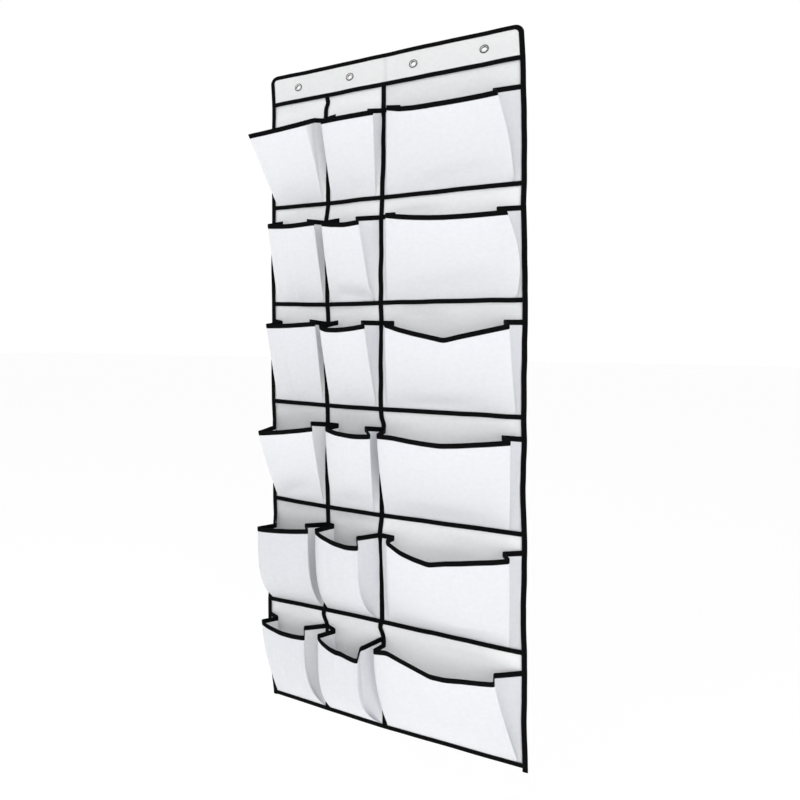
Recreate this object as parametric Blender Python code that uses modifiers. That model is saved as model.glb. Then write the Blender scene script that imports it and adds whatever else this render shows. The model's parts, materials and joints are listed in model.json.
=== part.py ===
"""Over-door shoe organizer: a bound fabric panel with eighteen pleated pockets in six rows.

Metres, +Z up, +X to the right of someone facing the pockets, which open towards -Y.
The origin is the middle of the eyelet row, in the rear plane (y = 0) that lies against the door.
"""
import math

import bmesh
import bpy
from mathutils import Vector

MM = 0.001

# Fabric, tape and the gap kept between pieces that touch
SHEET = 0.8 * MM
TAPE = 0.6 * MM
STIFFENER = 1.0 * MM
GAP = 0.3 * MM
TAPE_WIDTH = 10 * MM

# Panel: heights from the top binding's centre line down to the bottom binding's
PANEL_WIDTH = 550 * MM
HEADER_HEIGHT = 64 * MM
ROW_PITCHES = [pitch * MM for pitch in (251, 235, 236, 236, 240, 228)]
EYELET_DROP = 32 * MM
CORNER_RADIUS = 18 * MM
COLUMN_SEAMS = [x * MM for x in (-270, -134.5, -9, 270)]
LAST_UPPER_ROW = 3

# Layers, as (rear, front) depths forward of the door plane
REAR_PLY = (0, TAPE)
BACK_LAYER = (TAPE + GAP, TAPE + GAP + SHEET)
STIFFENER_LAYER = (BACK_LAYER[1] + GAP, BACK_LAYER[1] + GAP + STIFFENER)
FACING_LAYER = (STIFFENER_LAYER[1] + GAP, STIFFENER_LAYER[1] + GAP + SHEET)
FRONT_PLY = (FACING_LAYER[1] + GAP, FACING_LAYER[1] + GAP + TAPE)
STRIP_LAYER = (BACK_LAYER[1] + GAP, BACK_LAYER[1] + GAP + SHEET)
DIVIDER_LAYER = (STRIP_LAYER[1] + GAP, STRIP_LAYER[1] + GAP + TAPE)

# Eyelets
EYELET_X = [x * MM for x in (-204, -81, 58, 198)]
EYELET_BORE_R = 4.75 * MM
EYELET_BARREL_R = 5.15 * MM
EYELET_HOLE_R = EYELET_BARREL_R + GAP
EYELET_FLANGE_R = 8.75 * MM
EYELET_FLANGE = 1.0 * MM
EYELET_FLANGE_EDGE = 0.4 * EYELET_FLANGE
EYELET_CHAMFER = 1.0 * MM
WASHER_R = 8.0 * MM
WASHER_LIP = 0.2 * MM

# Header: the stiffener clears the binding and the header seam tape, the facing's edge lies under that tape
STIFFENER_INSET = 12 * MM
STIFFENER_SIDE_INSET = 13 * MM
STIFFENER_ABOVE_SEAM = 6 * MM
FACING_BELOW_SEAM = 2 * MM
DIVIDER_BELOW_SEAM = 2.5 * MM

# Pockets: where the fronts hinge, and each row's rim height at the seams
HINGE_Y = -5.6 * MM
FRONT_SIDE_INSET = 7.5 * MM
RIM_BELOW_SEAM = [drop * MM for drop in (56, 42, 43, 42, 38, 35)]
RIM_OVERHANG = 0.5 * MM

# Side pleats: seam, inward fold and front edge at the foot, the fold at the rim, and the hem.
# The fold goes in from the seam by PLEAT_INSET and PLEAT_SHARE of the front corner's inset.
PLEAT_FEET = [x * MM for x in (6, 8, 10)]
PLEAT_INSET = 28 * MM
PLEAT_SHARE = 0.5
PLEAT_FOLD_DEPTH = 0.35
PLEAT_BEHIND_FRONT = 2.2 * MM
PLEAT_BESIDE_FRONT = 1.0 * MM
HEM_HALF = 4 * MM

# Each pocket in mm: depth at the left and right front corner, how far each corner stands in
# from its seam, how far the rim hangs below the seam above at each corner, and the rim's sag
POCKET_HANG = {
    (1, 1): (85, 85, -27, 26, 94, 83, 0),
    (1, 2): (60, 60, 3, 6, 84, 79, 0),
    (1, 3): (40, 60, 18, 45, 67, 84, 0),
    (2, 1): (60, 60, 11, 12, 53, 57, 1),
    (2, 2): (60, 60, 5, 38, 57, 63, 4),
    (2, 3): (50, 60, 18, 28, 53, 69, 7),
    (3, 1): (60, 60, 7, 9, 51, 48, 1),
    (3, 2): (60, 60, 0, 25, 55, 53, 4),
    (3, 3): (60, 60, 18, 23, 46, 55, 26),
    (4, 1): (75, 70, -6, 14, 65, 47, 0),
    (4, 2): (50, 70, 11, 10, 46, 54, 5),
    (4, 3): (60, 60, 2, 21, 53, 45, 13),
    (5, 1): (75, 70, -8, 23, 52, 40, 1),
    (5, 2): (55, 80, -11, 34, 40, 56, 8),
    (5, 3): (60, 55, 22, 23, 39, 40, 24),
    (6, 1): (55, 60, -6, 35, 36, 47, 8),
    (6, 2): (55, 75, -5, 37, 38, 60, 9),
    (6, 3): (55, 60, -6, 51, 41, 45, 18),
}
# Each row's fronts in profile: 1 is straight from foot to rim, and more fills out near the foot
BELLIES = (1, 1, 1, 1.3, 2.5, 2.5)
FRONT_COLUMNS = 4
FRONT_HEIGHTS = (0, 0.1, 0.25, 0.45, 0.7, 1)
# Of a pleated strip's columns of faces, these lie behind the three fronts and are left open
FRONT_SPANS = (2, 8, 14)

HALF_WIDTH = PANEL_WIDTH / 2
HALF_TAPE = TAPE_WIDTH / 2
TOP = EYELET_DROP + HALF_TAPE
SEAMS = [EYELET_DROP - HEADER_HEIGHT - sum(ROW_PITCHES[:row]) for row in range(7)]
BOTTOM = SEAMS[6] - HALF_TAPE
FOLD_Z = SEAMS[LAST_UPPER_ROW] - HALF_TAPE - GAP
FOLD_Y = 1 * MM
SHEET_INSET = TAPE + GAP
STRIP_Y = -(STRIP_LAYER[0] + STRIP_LAYER[1]) / 2
OVERCUT = 1 * MM


def new_collection(name):
    collection = bpy.data.collections.new(name)
    bpy.context.scene.collection.children.link(collection)
    return collection


def new_material(name, colour, roughness, metallic=0.0):
    material = bpy.data.materials.new(name)
    material.use_nodes = True
    shader = material.node_tree.nodes["Principled BSDF"]
    shader.inputs["Base Color"].default_value = (*colour, 1)
    shader.inputs["Roughness"].default_value = roughness
    shader.inputs["Metallic"].default_value = metallic
    return material


def add_object(name, data, material=None, parent=None, cutter=False):
    """Link an object into the part or the cutters, and keep its place when it gets a parent."""
    made = bpy.data.objects.new(name, data)
    (CUTTERS if cutter else PARTS).objects.link(made)
    if material:
        data.materials.append(material)
    if parent:
        made.parent = parent
        made.location = -hinge_point(parent)
    if cutter:
        made.hide_render = True
        made.display_type = "WIRE"
    return made


def add_hinge(name, point, parent=None):
    """An empty on a joint's axis. Pieces keep world coordinates and hang on it."""
    empty = bpy.data.objects.new(name, None)
    PARTS.objects.link(empty)
    empty["point"] = point
    empty.location = point
    if parent:
        empty.parent = parent
        empty.location = Vector(point) - hinge_point(parent)
    return empty


def hinge_point(empty):
    return Vector(empty["point"])


def arc(centre_x, centre_z, radius, first, last, steps=6):
    """Points on a circle from one angle to another, in degrees."""
    angles = [math.radians(first + (last - first) * n / steps) for n in range(steps + 1)]
    return [(centre_x + radius * math.cos(a), centre_z + radius * math.sin(a)) for a in angles]


def circle(centre_x, centre_z, radius, sides=24):
    return arc(centre_x, centre_z, radius, 0, 360, sides)[:-1]


def round_top(inset, bottom):
    """The panel's outline above a height, with both top corners rounded, set in from the edge."""
    x = HALF_WIDTH - inset
    radius = CORNER_RADIUS - inset
    left = arc(-x + radius, TOP - inset - radius, radius, 180, 90)
    right = arc(x - radius, TOP - inset - radius, radius, 90, 0)
    return [(-x, bottom), *left, *right, (x, bottom)]


def rectangle(left, right, bottom, top):
    return [(left, bottom), (left, top), (right, top), (right, bottom)]


def flat(name, loops, layer, material=None, parent=None, cutter=False):
    """A flat piece: closed outlines in x and z, filled, between two depths."""
    curve = bpy.data.curves.new(name, "CURVE")
    curve.dimensions = "2D"
    curve.fill_mode = "BOTH"
    curve.extrude = (layer[1] - layer[0]) / 2
    middle = -(layer[0] + layer[1]) / 2
    for loop in loops:
        spline = curve.splines.new("POLY")
        spline.points.add(len(loop) - 1)
        for point, (x, z) in zip(spline.points, loop):
            point.co = (x, z, 0, 1)
        spline.use_cyclic_u = True
    made = add_object(name, curve, material, parent, cutter)
    made.rotation_euler = (math.pi / 2, 0, 0)
    made.location.y += middle
    return made


def as_mesh(source):
    """Turn a curve object into a mesh object of the same name, place and parent."""
    bpy.context.view_layer.update()
    evaluated = source.evaluated_get(bpy.context.evaluated_depsgraph_get())
    mesh = bpy.data.meshes.new_from_object(evaluated)
    work = bmesh.new()
    work.from_mesh(mesh)
    bmesh.ops.remove_doubles(work, verts=work.verts, dist=0.01 * MM)
    work.to_mesh(mesh)
    work.free()
    name, collection = source.name, source.users_collection[0]
    made = bpy.data.objects.new(name + "_mesh", mesh)
    collection.objects.link(made)
    made.parent = source.parent
    made.location = source.location
    made.rotation_euler = source.rotation_euler
    made.hide_render = source.hide_render
    made.display_type = source.display_type
    bpy.data.objects.remove(source)
    made.name = name
    return made


def cut(piece, cutter):
    boolean = piece.modifiers.new("cut", "BOOLEAN")
    boolean.operation = "DIFFERENCE"
    boolean.solver = "EXACT"
    boolean.object = cutter


def patch(name, rows, thickness, material=None, parent=None, cutter=False, skip=()):
    """A sheet through rows of points, given an even thickness with Solidify.

    skip lists the columns of faces that are left open above the first row of faces.
    """
    across, up = len(rows[0]), len(rows)
    work = bmesh.new()
    bmesh.ops.create_grid(work, x_segments=across - 1, y_segments=up - 1, size=1)
    order = sorted(work.verts, key=lambda vert: (round(vert.co.y, 4), round(vert.co.x, 4)))
    for vert, point in zip(order, [point for row in rows for point in row]):
        vert.co = point
    grid = [order[start : start + across] for start in range(0, len(order), across)]
    spans = [
        {low[n], low[n + 1], high[n], high[n + 1]}
        for low, high in zip(grid[1:], grid[2:])
        for n in skip
    ]
    open_faces = [face for face in work.faces if set(face.verts) in spans]
    bmesh.ops.delete(work, geom=open_faces, context="FACES")
    bmesh.ops.recalc_face_normals(work, faces=work.faces)
    mesh = bpy.data.meshes.new(name)
    work.to_mesh(mesh)
    work.free()
    made = add_object(name, mesh, material, parent, cutter)
    solidify = made.modifiers.new("thickness", "SOLIDIFY")
    solidify.thickness = thickness
    solidify.offset = 0
    solidify.use_even_offset = not skip
    return made


def turned(name, x, outline, material, steps=24):
    """A ring turned about an axis along Y, from its section as (radius, forward) points."""
    mesh = bpy.data.meshes.new(name)
    points = [(radius, 0, forward) for radius, forward in reversed(outline)]
    mesh.from_pydata(points, [(n, (n + 1) % len(points)) for n in range(len(points))], [])
    ring = add_object(name, mesh, material)
    screw = ring.modifiers.new("turn", "SCREW")
    screw.steps = screw.render_steps = steps
    screw.use_merge_vertices = True
    screw.merge_threshold = 0.01 * MM
    ring.rotation_euler = (math.pi / 2, 0, 0)
    ring.location = (x, 0, 0)


def add_folded_tape(name, outline, slot, parent=None):
    """An edge binding: tape folded over the panel's edge, so it is hollow towards the inside."""
    piece = as_mesh(flat(name, [outline], (REAR_PLY[0], FRONT_PLY[1]), BLACK, parent))
    cutter = as_mesh(flat(name + "_slot", [slot], (REAR_PLY[1], FRONT_PLY[0]), cutter=True))
    cut(piece, cutter)


def add_panel_fabric():
    holes = [circle(x, 0, EYELET_HOLE_R) for x in EYELET_X]
    upper = round_top(SHEET_INSET, FOLD_Z + GAP)
    flat("back_sheet_upper", [upper, *holes], BACK_LAYER, WHITE)
    facing = round_top(SHEET_INSET, SEAMS[0] - FACING_BELOW_SEAM)
    flat("header_facing", [facing, *holes], FACING_LAYER, WHITE)
    inside = HALF_WIDTH - STIFFENER_SIDE_INSET
    strip = rectangle(-inside, inside, SEAMS[0] + STIFFENER_ABOVE_SEAM, TOP - STIFFENER_INSET)
    flat("header_stiffener", [strip, *holes], STIFFENER_LAYER, BOARD)
    edge = HALF_WIDTH - SHEET_INSET
    lower = rectangle(-edge, edge, BOTTOM + SHEET_INSET, FOLD_Z - GAP)
    flat("back_sheet_lower", [lower], BACK_LAYER, WHITE, FOLD)


def add_bindings():
    """The edge tape: over the top with its two round corners, then down both sides."""
    inner = HALF_WIDTH - TAPE_WIDTH
    leg = TOP - CORNER_RADIUS
    round_edge = round_top(0, leg)
    inside = list(reversed(round_top(TAPE_WIDTH, leg)))
    slot = round_top(TAPE, leg - OVERCUT)
    add_folded_tape("top_binding", round_edge + inside, slot)
    for side, sign in (("left", -1), ("right", 1)):
        for half, low, high, parent in (
            ("upper", FOLD_Z + GAP, leg - GAP, None),
            ("lower", BOTTOM, FOLD_Z - GAP, FOLD),
        ):
            outer = sorted((sign * inner, sign * HALF_WIDTH))
            hollow = sorted((sign * (inner - OVERCUT), sign * (HALF_WIDTH - TAPE)))
            add_folded_tape(
                f"side_binding_{side}_{half}",
                rectangle(*outer, low, high),
                rectangle(*hollow, low - OVERCUT, high + OVERCUT),
                parent,
            )
    reach = inner - GAP
    add_folded_tape(
        "bottom_binding",
        rectangle(-reach, reach, BOTTOM, BOTTOM + TAPE_WIDTH),
        rectangle(-reach - OVERCUT, reach + OVERCUT, BOTTOM + TAPE, BOTTOM + TAPE_WIDTH + OVERCUT),
        FOLD,
    )


def add_seam_tapes():
    """Tapes sewn across the panel over each row's lower edge."""
    reach = HALF_WIDTH - TAPE_WIDTH - GAP
    names = ["header", *[f"row{row}" for row in range(1, 6)]]
    for row, (name, z) in enumerate(zip(names, SEAMS)):
        parent = FOLD if row > LAST_UPPER_ROW else None
        strip = rectangle(-reach, reach, z - HALF_TAPE, z + HALF_TAPE)
        flat(f"seam_tape_{name}", [strip], FRONT_PLY, BLACK, parent)


def add_dividers():
    """Tapes sewn down the panel between the columns, under the seam tapes."""
    for number, x in enumerate(COLUMN_SEAMS[1:3], 1):
        upper = rectangle(x - HALF_TAPE, x + HALF_TAPE, FOLD_Z + GAP, SEAMS[0] - DIVIDER_BELOW_SEAM)
        lower = rectangle(x - HALF_TAPE, x + HALF_TAPE, BOTTOM + SHEET_INSET, FOLD_Z - GAP)
        flat(f"divider_tape_{number}_upper", [upper], DIVIDER_LAYER, BLACK)
        flat(f"divider_tape_{number}_lower", [lower], DIVIDER_LAYER, BLACK, FOLD)


def add_eyelets():
    """Each eyelet is a barrel with a domed front flange, set through a washer at the back."""
    front = FRONT_PLY[0]
    barrel = [
        (EYELET_BORE_R, 0),
        (EYELET_BARREL_R, 0),
        (EYELET_BARREL_R, front),
        (EYELET_FLANGE_R, front),
        (EYELET_FLANGE_R, front + EYELET_FLANGE_EDGE),
        (EYELET_FLANGE_R - EYELET_CHAMFER, front + EYELET_FLANGE),
        (EYELET_BORE_R + EYELET_CHAMFER, front + EYELET_FLANGE),
        (EYELET_BORE_R, front + EYELET_FLANGE_EDGE),
    ]
    washer = [
        (EYELET_HOLE_R, 0),
        (WASHER_R, WASHER_LIP),
        (WASHER_R, TAPE),
        (EYELET_HOLE_R, TAPE),
    ]
    for number, x in enumerate(EYELET_X, 1):
        turned(f"eyelet_{number}", x, barrel, NICKEL)
        turned(f"eyelet_washer_{number}", x, washer, NICKEL)


class Pocket:
    """Where one pocket's front and pleats lie."""

    def __init__(self, row, column):
        self.row, self.column = row, column
        hang = [value * MM for value in POCKET_HANG[row, column]]
        self.depth, self.inward, self.drop, self.sag = hang[0:2], hang[2:4], hang[4:6], hang[6]
        self.seams = COLUMN_SEAMS[column - 1], COLUMN_SEAMS[column]
        self.hinge_z = SEAMS[row] + HALF_TAPE + GAP + SHEET / 2
        self.rim_z = SEAMS[row - 1] - RIM_BELOW_SEAM[row - 1] + HALF_TAPE

    def rise(self, foot, rim, height):
        """The point at a share of the height from foot to rim, out as far as the belly takes it."""
        point = foot.lerp(rim, 1 - (1 - height) ** BELLIES[self.row - 1])
        point.z = foot.z + (rim.z - foot.z) * height
        return point

    def corner(self, side):
        """The front's top corner: side 0 is left, side 1 is right."""
        inward = 1 - 2 * side
        x = self.seams[side] + inward * self.inward[side]
        return Vector((x, -self.depth[side], SEAMS[self.row - 1] - self.drop[side] + HALF_TAPE))

    def foot(self, side):
        inward = 1 - 2 * side
        return Vector((self.seams[side] + inward * FRONT_SIDE_INSET, HINGE_Y, self.hinge_z))

    def top(self, across):
        sag = Vector((0, 0, 4 * self.sag * across * (1 - across)))
        return self.corner(0).lerp(self.corner(1), across) - sag

    def bottom(self, across):
        return self.foot(0).lerp(self.foot(1), across)

    def front_rows(self):
        columns = [n / FRONT_COLUMNS for n in range(FRONT_COLUMNS + 1)]
        return [
            [self.rise(self.bottom(u), self.top(u), height) for u in columns]
            for height in FRONT_HEIGHTS
        ]

    def rim_rows(self, low, high, beyond=0.0):
        """Two rows along the rim, measured up the front from its top edge."""
        below, top = self.front_rows()[-2:]
        rows = []
        for offset in (low, high):
            row = [rim + (rim - under).normalized() * offset for under, rim in zip(below, top)]
            left = (row[0] - row[1]).normalized() * beyond
            right = (row[-1] - row[-2]).normalized() * beyond
            rows.append([row[0] + left, *row[1:-1], row[-1] + right])
        return rows

    def pleat(self, side):
        """A side pleat's seam, inward fold and front edge, from the seam out: rows from the foot up."""
        inward = 1 - 2 * side
        seam_x = self.seams[side]
        feet = [Vector((seam_x + inward * x, STRIP_Y, SEAMS[self.row] + HEM_HALF)) for x in PLEAT_FEET]
        seam = Vector((feet[0].x, STRIP_Y, self.rim_z))
        edge = self.corner(side) + Vector((inward * PLEAT_BESIDE_FRONT, PLEAT_BEHIND_FRONT, 0))
        fold_in = PLEAT_INSET + PLEAT_SHARE * self.inward[side]
        middle_z = (seam.z + edge.z) / 2
        fold = Vector((seam_x + inward * fold_in, PLEAT_FOLD_DEPTH * edge.y, middle_z))
        rims = (seam, fold, edge)
        return [
            [self.rise(foot, rim, height) for foot, rim in zip(feet, rims)]
            for height in FRONT_HEIGHTS
        ]


def add_pocket_front(pocket, parent):
    """A front panel joined with the tape that binds its rim."""
    name = f"pocket_r{pocket.row}c{pocket.column}_front"
    middle = (pocket.seams[0] + pocket.seams[1]) / 2
    hinge = add_hinge(name.replace("front", "hinge"), (middle, HINGE_Y, pocket.hinge_z), parent)
    front = patch(name, pocket.front_rows(), SHEET, WHITE, hinge)
    rim_rows = pocket.rim_rows(GAP + TAPE - TAPE_WIDTH, GAP + TAPE, beyond=RIM_OVERHANG)
    rim = patch(name + "_rim", rim_rows, SHEET + 2 * (GAP + TAPE), BLACK, cutter=True)
    union = front.modifiers.new("rim", "BOOLEAN")
    union.operation = "UNION"
    union.solver = "EXACT"
    union.object = rim


def add_pleated_strip(row, pockets, parent):
    """The row's side pleats, in one piece with the hem sewn down under the seam tape."""
    rows = [[] for _ in FRONT_HEIGHTS]
    for pocket in pockets:
        for whole, left, right in zip(rows, pocket.pleat(0), pocket.pleat(1)):
            whole += left + right[::-1]
    hem_z = SEAMS[row] - HEM_HALF if row < 6 else BOTTOM + SHEET_INSET
    hem = [Vector((foot.x, foot.y, hem_z)) for foot in rows[0]]
    patch(f"row{row}_pleated_strip", [hem, *rows], SHEET, WHITE, parent, skip=FRONT_SPANS)


def add_pockets():
    for row in range(1, 7):
        parent = FOLD if row > LAST_UPPER_ROW else None
        pockets = [Pocket(row, column) for column in (1, 2, 3)]
        for pocket in pockets:
            add_pocket_front(pocket, parent)
        add_pleated_strip(row, pockets, parent)


for existing in list(bpy.data.objects):
    bpy.data.objects.remove(existing)
PARTS = new_collection("shoe_organizer")
CUTTERS = new_collection("cutters")
WHITE = new_material("white_nonwoven", (0.86, 0.87, 0.9), 0.9)
BLACK = new_material("black_tape", (0.012, 0.012, 0.013), 0.75)
BOARD = new_material("stiffener_board", (0.8, 0.8, 0.78), 0.6)
NICKEL = new_material("eyelet_nickel", (0.7, 0.7, 0.72), 0.25, 1.0)
FOLD = add_hinge("storage_fold_hinge", (0, FOLD_Y, FOLD_Z))

add_panel_fabric()
add_bindings()
add_seam_tapes()
add_dividers()
add_eyelets()
add_pockets()
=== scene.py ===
"""Over-door shoe organizer: non-woven cloth, bound edges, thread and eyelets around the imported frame.

Metres, in the frame's own axes: +X right, +Z up, the pockets open towards -Y and y = 0 lies on the door.
Tables marked mm are in millimetres.
"""
import json
import math
import random
from collections import namedtuple

import bmesh
import bpy
import numpy as np
from mathutils import Matrix, Vector, noise

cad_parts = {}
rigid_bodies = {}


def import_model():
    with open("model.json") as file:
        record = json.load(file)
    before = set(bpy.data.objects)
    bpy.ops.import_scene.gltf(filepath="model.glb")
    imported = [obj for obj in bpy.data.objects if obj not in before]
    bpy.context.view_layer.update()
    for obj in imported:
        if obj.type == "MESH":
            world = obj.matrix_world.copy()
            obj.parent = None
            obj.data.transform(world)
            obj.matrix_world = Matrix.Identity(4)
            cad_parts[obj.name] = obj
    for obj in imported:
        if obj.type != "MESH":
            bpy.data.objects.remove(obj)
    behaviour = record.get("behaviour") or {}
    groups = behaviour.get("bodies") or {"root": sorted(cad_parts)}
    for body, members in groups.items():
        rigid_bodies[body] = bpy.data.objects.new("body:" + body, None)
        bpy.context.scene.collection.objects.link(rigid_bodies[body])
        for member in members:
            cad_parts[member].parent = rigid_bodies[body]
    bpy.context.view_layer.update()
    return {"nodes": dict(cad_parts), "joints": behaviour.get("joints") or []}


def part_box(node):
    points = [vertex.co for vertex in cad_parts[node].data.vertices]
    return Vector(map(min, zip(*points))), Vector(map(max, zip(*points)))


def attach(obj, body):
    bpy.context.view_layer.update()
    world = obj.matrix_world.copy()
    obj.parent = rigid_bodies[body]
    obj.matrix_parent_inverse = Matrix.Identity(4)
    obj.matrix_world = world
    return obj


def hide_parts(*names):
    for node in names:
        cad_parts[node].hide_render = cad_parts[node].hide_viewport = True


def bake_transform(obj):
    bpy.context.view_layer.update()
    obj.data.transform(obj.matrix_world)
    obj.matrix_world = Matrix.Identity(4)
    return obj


MM = 0.001

# Cloth, tape and thread
CLOTH = 0.45 * MM
TAPE = 0.55 * MM
TAPE_WIDTH = 10 * MM
HALF_TAPE = TAPE_WIDTH / 2
STITCH_PITCH = 3.2 * MM
STITCH_LENGTH = 2.3 * MM
STITCH_WIDTH = 0.4 * MM
STITCH_FROM_EDGE = 1.5 * MM
STITCH_LINE = HALF_TAPE - STITCH_FROM_EDGE
SHEET_INSET = 2.6 * MM
CORNER_RADIUS = 18 * MM
EYELET_HOLE = 5.4 * MM

# How far forward of the door plane each layer's middle lies
BACK_Y = -1.3 * MM
HEM_Y = -2.4 * MM
FACING_Y = -3.7 * MM
DIVIDER_Y = -3.4 * MM
SEAM_TAPE_Y = -4.4 * MM

# The hung cloth strays from a straight grid, in mm. STRAY is each upright line's shift to the right
# at the top, at the header seam, then below, halfway down and at the foot of each row.
STRAY = [
    (0, 3.5, 2.5, 2, 3.5, 3, 1, 2.5, 3, 1, 2, 5, 5, 6, 7.5, 0, -7, -6.5, -3.5, 7.5),
    (0, 0, -3, 2, 3, -2, 0, 1.5, 4, -2.5, 1, 2.5, 0, 2, 3, -2, -3, 1, 1, 2.5),
    (0, 4, 3.5, 3, 0, -1.5, -2, -2.5, -1, -3, -2, 1, -1, -0.5, -4, -1, 1, 2.5, 3, 7),
    (-4.5, -1.5, -0.5, 1, 1, -0.5, 1.5, 3, 3, 0.5, 0, 1, -1.5, 1, 2, -1, 1, 2, 0.5, 2),
]
# LIFT is each seam's shift upwards at the four upright lines.
LIFT = [
    (0, 0, 0, 0),
    (0, 0, 0, 0),
    (1.5, -1, -0.5, -2),
    (3, -1.5, -0.5, -1),
    (3.5, 0, -1, -1.5),
    (5, 0, -2, 0),
    (-2.5, 0.5, 1.5, 1.5),
    (1.5, -1.5, -3, 2.5),
]
# Short kinks in the upright lines, in mm: line, height, shift to the right, half length
KINKS = [(1, -50, 3.5, 9), (1, -1243, -6, 14), (2, -790, 4, 13), (2, -1243, -5, 10), (2, -1272, 1.5, 10)]
KINK_REACH = 30 * MM
# Where the rims end under each upright line, in mm below the seam above, row by row
RIM_AT_SEAM = [
    (58, 58, 58, 58),
    (44, 44, 44, 48),
    (45, 45, 45, 45),
    (44, 45, 45, 44),
    (40, 42, 45, 39),
    (38, 39, 39, 43),
]

# Each pocket in mm. fold: the pleat's inner fold at the rim, in from its seam and below the seam
# above, for the left and the right pleat. foot: the front's foot corners, in from their seams.
# rim: how far the rim hangs below the line between its corners, at nine even places.
# belly: how much the front's left and right sides fill out near the foot; 1 is straight. A pair is
# a knee: its share of the height, and of the rim's distance. bow: how far the sides curve outwards.
Hang = namedtuple("Hang", "fold foot rim belly bow", defaults=[(0, 0)])
HANG = {
    (1, 1): Hang((8, 80, 22, 64), (7.5, 10.5), (1.5, 2, 3, 3.5, 4, 4, 4, 4, 3.5), (1, 1)),
    (1, 2): Hang((27, 60, 27, 61), (7.5, 13), (-3, -2.5, -2, -1.5, -1, -0.5, 0, 0.5, 1), (1, 1)),
    (1, 3): Hang((43, 63, 55, 65), (8, 16), (1, 7.5, 9, 8.5, 7.5, 6.5, 5, 3, 0), (1.1, 1.1), (0, 6)),
    (2, 1): Hang((35, 42, 42, 42), (9.5, 7.5), (1, 2, 3, 3.5, 3.5, 2.5, 1.5, 0, -1), (1.05, 1.05)),
    (2, 2): Hang((36, 47, 53, 47), (7, 10), (2, 3.5, 5, 5, 5.5, 5.5, 4, 2, 0), (1.3, (0.17, 0.4))),
    (2, 3): Hang((33, 45, 48, 54), (11, 13), (-1, 3, 5.5, 7, 7.5, 6.5, 5, 3, 1), (1.3, 1.2), (0, 14)),
    (3, 1): Hang((34, 44, 35, 41), (10, 9), (2, 2.5, 3, 3, 3, 2.5, 2, 1.5, 1), (1.05, 1.05)),
    (3, 2): Hang((33, 44, 41, 45), (6, 9), (1, 7, 8.5, 9, 8.5, 7.5, 6, 4, 2), (1.1, 1.1)),
    (3, 3): Hang((31, 47, 35, 47), (12, 13), (6, 16, 23, 29, 35, 26, 18, 10, 2), (1.2, 1.2)),
    (4, 1): Hang((18, 56, 31, 42), (6.5, 8), (3, 3.5, 3.5, 4, 4, 3.5, 3.5, 3, 2.5), (1.2, 1.2)),
    (4, 2): Hang((33, 43, 32, 44), (8.5, 16), (3, 6, 8, 8, 8, 7.5, 6, 4, 1.5), (1.6, 1.6)),
    (4, 3): Hang((12, 46, 39, 43), (6, 25), (2.5, 4, 9, 13, 15.5, 13.5, 10, 6.5, 2.5), (1.4, 1.4)),
    (5, 1): Hang((21, 54, 45, 45), (6, 5), (3.5, 4, 4, 4, 4, 4, 4, 4, 4), (3.6, 3.4)),
    (5, 2): Hang((23, 37, 49, 54), (4, 9), (5.5, 9.5, 11, 12, 12, 11, 10, 7, 3.5), (3.8, 3.8)),
    (5, 3): Hang((31, 42, 37, 41), (14, 26), (4, 20, 28, 33, 25.5, 20, 14, 9, 3), (2.2, (0.22, 0.72))),
    (6, 1): Hang((22, 38, 48, 46), (5, 5.5), (5, 7.5, 8.5, 9, 9.5, 8.5, 7.5, 6, 4.5), (1.6, 3.2)),
    (6, 2): Hang((26, 36, 42, 60), (4.5, 8), (5.5, 10.5, 11.5, 12, 9.5, 7, 7, 6.5, 5), (3.8, 3.6)),
    (6, 3): Hang((12, 39, 53, 49), (5, 11), (5, -3.5, 3.5, 11, 18, 16.5, 11.5, 8, 4.5), (2, 1.15)),
}
# How much painted shade darkens the panel above each pocket's rim, row by row; below nought is painted
# light, paler
PANEL_PAINTED_LIGHT_AND_SHADE = [
    (-0.03, -0.03, 0.06),
    (0, 0, -0.03),
    (0.04, 0.04, 0.06),
    (0.13, 0.1, 0.02),
    (0.13, 0.1, -0.07),
    (-0.03, -0.03, -0.1),
]
# The same painted shade, below nought painted light, for the left and right pleats of each column, and
# painted shade for the fronts that look darker
PLEAT_PAINTED_LIGHT_AND_SHADE = {1: (-0.06, -0.07), 2: (-0.03, -0.02), 3: (0, 0.1)}
FRONT_PAINTED_SHADE = {(2, 1): 0.02, (3, 1): 0.05, (5, 1): 0.1, (5, 2): 0.05, (6, 1): 0.08, (6, 2): 0.05}
HEADER_TONE = -0.04
# painted shade in a band where an inner seam shows through the header ply, and the band's half width
HEADER_SEAM_PAINTED_SHADE = 0.1
HEADER_SEAM_SHADE_HALF = 4.5 * MM
# How far the middle of each row's rims stands forward, in mm, and more so on the low wide pockets
CROWN = {1: 2, 2: 3, 3: 3, 4: 5, 5: 8, 6: 8}
WIDE_CROWN = 1.6
FOLD_DEPTH = 0.4  # the inner fold's depth, as a share of the front corner's
FOLD_ROUND = 3 * MM
SEAM_MARGIN = 1.5 * MM  # from the middle of a divider to the cloth's edge under it
HEM = 5.7 * MM
WRINKLE = 2.0 * MM  # in the fronts
CRUMPLE = 1.6 * MM  # in the pleats
KNEE_ROUND = 0.1
FULL_TURN = 0.86  # cloth this far round from the panel to the front gets the front's full turning weight
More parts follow.
